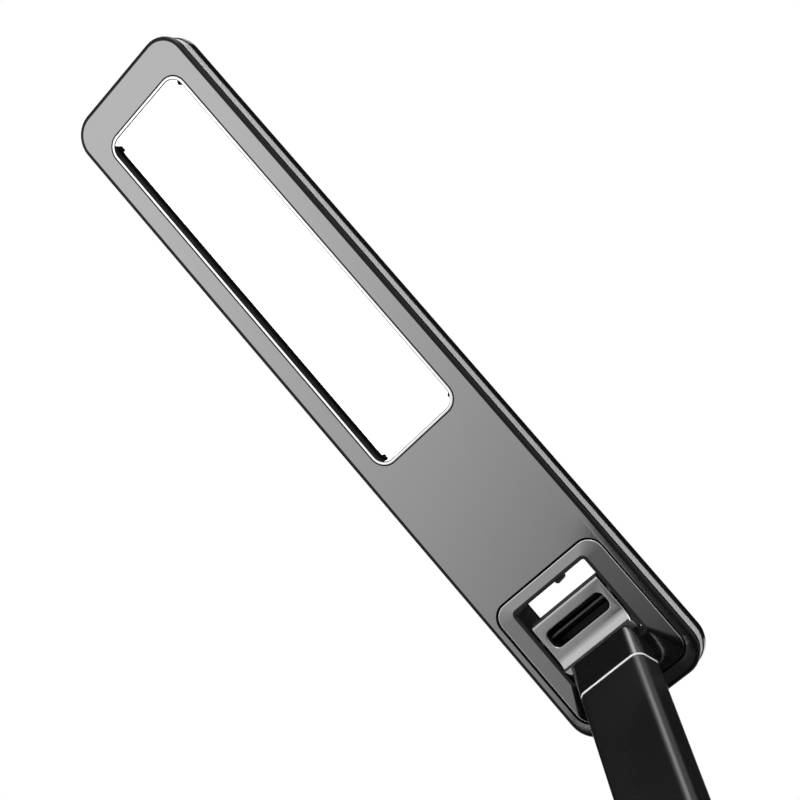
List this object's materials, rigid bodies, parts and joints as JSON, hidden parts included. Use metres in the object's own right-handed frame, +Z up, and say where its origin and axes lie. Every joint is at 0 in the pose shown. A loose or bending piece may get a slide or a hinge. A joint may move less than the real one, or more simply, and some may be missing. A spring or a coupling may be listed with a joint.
{
  "type": "folding desk lamp",
  "caption": "Folding LED desk lamp with a flat light head, slotted knuckle hinges, flat arm and weighted swivel base with push keys.",
  "frame": {"origin": "on the table, on the turntable's axis, at the underside of the non-slip pad", "axes": "+Z up; the lamp faces -Y, with the keys at the front; X runs along the hinge shafts"},
  "size_m": [0.16, 0.2762, 0.6324],
  "materials": {
    "gunmetal": "glossy gunmetal",
    "gunmetal_cast": "glossy gunmetal enamel on a casting",
    "black_gloss": "glossy black",
    "satin_band": "satin grey",
    "black_anodised": "satin black, anodised",
    "black_satin": "satin black",
    "bright_trim": "bright plated",
    "opal": "opal white",
    "white_board": "white",
    "chip": "yellow phosphor",
    "steel": "bright steel",
    "black_steel": "blackened steel",
    "bronze": "dark phosphor bronze",
    "wire": "wire sleeve",
    "black_plastic": "fine matt black",
    "rubber_pad": "matt rubber",
    "circuit": "green laminate"
  },
  "bodies": {
    "base": {"base_cover": "black_gloss", "base_plate": "black_plastic", "ballast_plate": "black_steel", "non_slip_pad": "rubber_pad", "control_board": "circuit", "key_switches": "black_plastic", "power_inlet": "black_plastic", "base_screws": "steel"},
    "turret": {"turntable": "gunmetal", "yoke": "gunmetal_cast", "yoke_screws": "black_steel", "yoke_caps": "black_gloss", "base_hinge_shaft": "black_steel", "base_hinge_washers": "bronze", "base_hinge_nut": "steel", "swivel_washer": "bronze", "swivel_nut": "steel"},
    "arm": {"base_knuckle": "gunmetal_cast", "base_neck_cover": "black_satin", "arm_tube": "black_anodised", "arm_wires": "wire", "arm_screws": "steel", "head_neck_cover": "black_satin", "head_knuckle": "gunmetal_cast"},
    "head": {"face_shell": "gunmetal", "side_band": "satin_band", "back_shell": "black_gloss", "window_bezel": "bright_trim", "diffuser": "opal", "reflector_frame": "white_board", "light_board": "white_board", "light_chips": "chip", "hinge_surround": "gunmetal", "hinge_brackets": "steel", "head_hinge_shaft": "black_steel", "head_hinge_washers": "bronze", "head_hinge_nut": "steel", "head_screws": "black_steel", "head_inner_screws": "steel"},
    "power_key": {"power_key": "black_plastic"},
    "dimmer_down_key": {"dimmer_down_key": "black_plastic"},
    "dimmer_up_key": {"dimmer_up_key": "black_plastic"}
  },
  "joints": [
    {"name": "base_swivel", "type": "hinge", "parent": "base", "child": "turret", "pos_m": [0, 0, 0.018], "axis": [0, 0, 1], "range_deg": [-90, 90]},
    {"name": "arm_fold", "type": "hinge", "parent": "turret", "child": "arm", "pos_m": [0, 0, 0.035], "axis": [1, 0, 0], "range_deg": [-15, 90]},
    {"name": "head_fold", "type": "hinge", "parent": "arm", "child": "head", "pos_m": [0, 0, 0.425], "axis": [1, 0, 0], "range_deg": [0, 131.4]},
    {"name": "power_key_press", "type": "slide", "parent": "base", "child": "power_key", "axis": [0, 0, -1], "range_m": [0, 0.0008], "stiffness_N_per_m": 1200, "springref_m": -0.0005},
    {"name": "dimmer_down_key_press", "type": "slide", "parent": "base", "child": "dimmer_down_key", "axis": [0, 0, -1], "range_m": [0, 0.0008], "stiffness_N_per_m": 1200, "springref_m": -0.0005},
    {"name": "dimmer_up_key_press", "type": "slide", "parent": "base", "child": "dimmer_up_key", "axis": [0, 0, -1], "range_m": [0, 0.0008], "stiffness_N_per_m": 1200, "springref_m": -0.0005}
  ]
}
